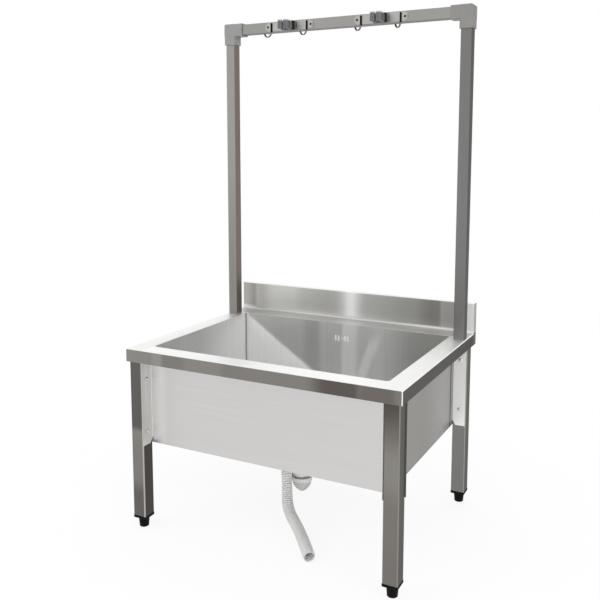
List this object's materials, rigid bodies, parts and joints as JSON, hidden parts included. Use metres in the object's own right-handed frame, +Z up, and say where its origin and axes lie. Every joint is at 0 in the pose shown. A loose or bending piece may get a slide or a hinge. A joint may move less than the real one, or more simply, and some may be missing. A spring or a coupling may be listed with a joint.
{
  "type": "mop sink",
  "caption": "Free-standing steel mop sink: deep square bowl, backsplash, skirted square legs on screw feet, a tube rack with clips and hooks above, and a bottle trap with hose below.",
  "frame": {"origin": "on the floor, under the middle of the deck", "axes": "+Z up, +X to the right of someone standing at the front, -Y towards them"},
  "size_m": [0.9, 0.71, 1.63],
  "materials": {
    "brushed_sheet": "brushed",
    "satin_tube": "satin",
    "rail_steel": "satin",
    "hook_steel": "satin",
    "bright_fastener": "bright",
    "zinc_nut": "zinc plated",
    "connector_plastic": "moulded",
    "clip_plastic": "moulded",
    "black_plastic": "moulded",
    "seal_rubber": "matt",
    "white_plastic": "moulded",
    "cup_plastic": "moulded",
    "ring_plastic": "moulded",
    "hose_plastic": "corrugated"
  },
  "bodies": {
    "frame": {"sink_deck": "brushed_sheet", "splash_cap_left": "brushed_sheet", "splash_cap_right": "brushed_sheet", "bowl": "brushed_sheet", "skirt_front": "brushed_sheet", "skirt_rear": "brushed_sheet", "skirt_left": "brushed_sheet", "skirt_right": "brushed_sheet", "leg_front_left": "satin_tube", "leg_front_right": "satin_tube", "leg_rear_left": "satin_tube", "leg_rear_right": "satin_tube", "leg_end_front_left": "black_plastic", "leg_end_front_right": "black_plastic", "leg_end_rear_left": "black_plastic", "leg_end_rear_right": "black_plastic", "leg_top_caps": "black_plastic", "skirt_bolts": "bright_fastener", "rivet_nuts": "zinc_nut", "post_left": "satin_tube", "post_right": "satin_tube", "post_stubs": "satin_tube", "post_screws": "bright_fastener", "crossbar": "satin_tube", "corner_left": "connector_plastic", "corner_right": "connector_plastic", "rail_left": "rail_steel", "rail_right": "rail_steel", "hooks_left": "hook_steel", "hooks_right": "hook_steel", "rail_screws": "bright_fastener", "clip_base_left": "clip_plastic", "clip_base_right": "clip_plastic", "clip_pins": "bright_fastener", "clip_springs": "bright_fastener", "overflow_gasket": "seal_rubber", "overflow_housing": "white_plastic", "overflow_screw": "bright_fastener", "overflow_hose": "hose_plastic", "waste_flange": "bright_fastener", "waste_gasket": "seal_rubber", "waste_body": "white_plastic", "waste_screw": "bright_fastener", "trap_nut": "white_plastic", "trap_head": "white_plastic", "trap_ring": "ring_plastic", "trap_cup": "cup_plastic", "outlet_nut": "white_plastic", "trap_elbow": "white_plastic", "drain_hose": "hose_plastic"},
    "foot_front_left": {"foot_front_left": "black_plastic"},
    "foot_front_right": {"foot_front_right": "black_plastic"},
    "foot_rear_left": {"foot_rear_left": "black_plastic"},
    "foot_rear_right": {"foot_rear_right": "black_plastic"},
    "jaw_left_a": {"jaw_left_a": "clip_plastic"},
    "jaw_left_b": {"jaw_left_b": "clip_plastic"},
    "jaw_right_a": {"jaw_right_a": "clip_plastic"},
    "jaw_right_b": {"jaw_right_b": "clip_plastic"}
  },
  "joints": [
    {"name": "foot_front_left_thread", "type": "slide", "parent": "frame", "child": "foot_front_left", "axis": [0, 0, -1], "range_m": [0, 0.025]},
    {"name": "foot_front_right_thread", "type": "slide", "parent": "frame", "child": "foot_front_right", "axis": [0, 0, -1], "range_m": [0, 0.025]},
    {"name": "foot_rear_left_thread", "type": "slide", "parent": "frame", "child": "foot_rear_left", "axis": [0, 0, -1], "range_m": [0, 0.025]},
    {"name": "foot_rear_right_thread", "type": "slide", "parent": "frame", "child": "foot_rear_right", "axis": [0, 0, -1], "range_m": [0, 0.025]},
    {"name": "jaw_left_a_pivot", "type": "hinge", "parent": "frame", "child": "jaw_left_a", "pos_m": [-0.202, 0.2095, 1.6085], "axis": [0, 0, -1], "range_deg": [0, 35], "stiffness_Nm_per_rad": 0.3, "springref_deg": -11.46},
    {"name": "jaw_left_b_pivot", "type": "hinge", "parent": "frame", "child": "jaw_left_b", "pos_m": [-0.176, 0.2095, 1.6085], "axis": [0, 0, 1], "range_deg": [0, 35], "stiffness_Nm_per_rad": 0.3, "springref_deg": -11.46},
    {"name": "jaw_right_a_pivot", "type": "hinge", "parent": "frame", "child": "jaw_right_a", "pos_m": [0.134, 0.2095, 1.6085], "axis": [0, 0, -1], "range_deg": [0, 35], "stiffness_Nm_per_rad": 0.3, "springref_deg": -11.46},
    {"name": "jaw_right_b_pivot", "type": "hinge", "parent": "frame", "child": "jaw_right_b", "pos_m": [0.16, 0.2095, 1.6085], "axis": [0, 0, 1], "range_deg": [0, 35], "stiffness_Nm_per_rad": 0.3, "springref_deg": -11.46}
  ]
}
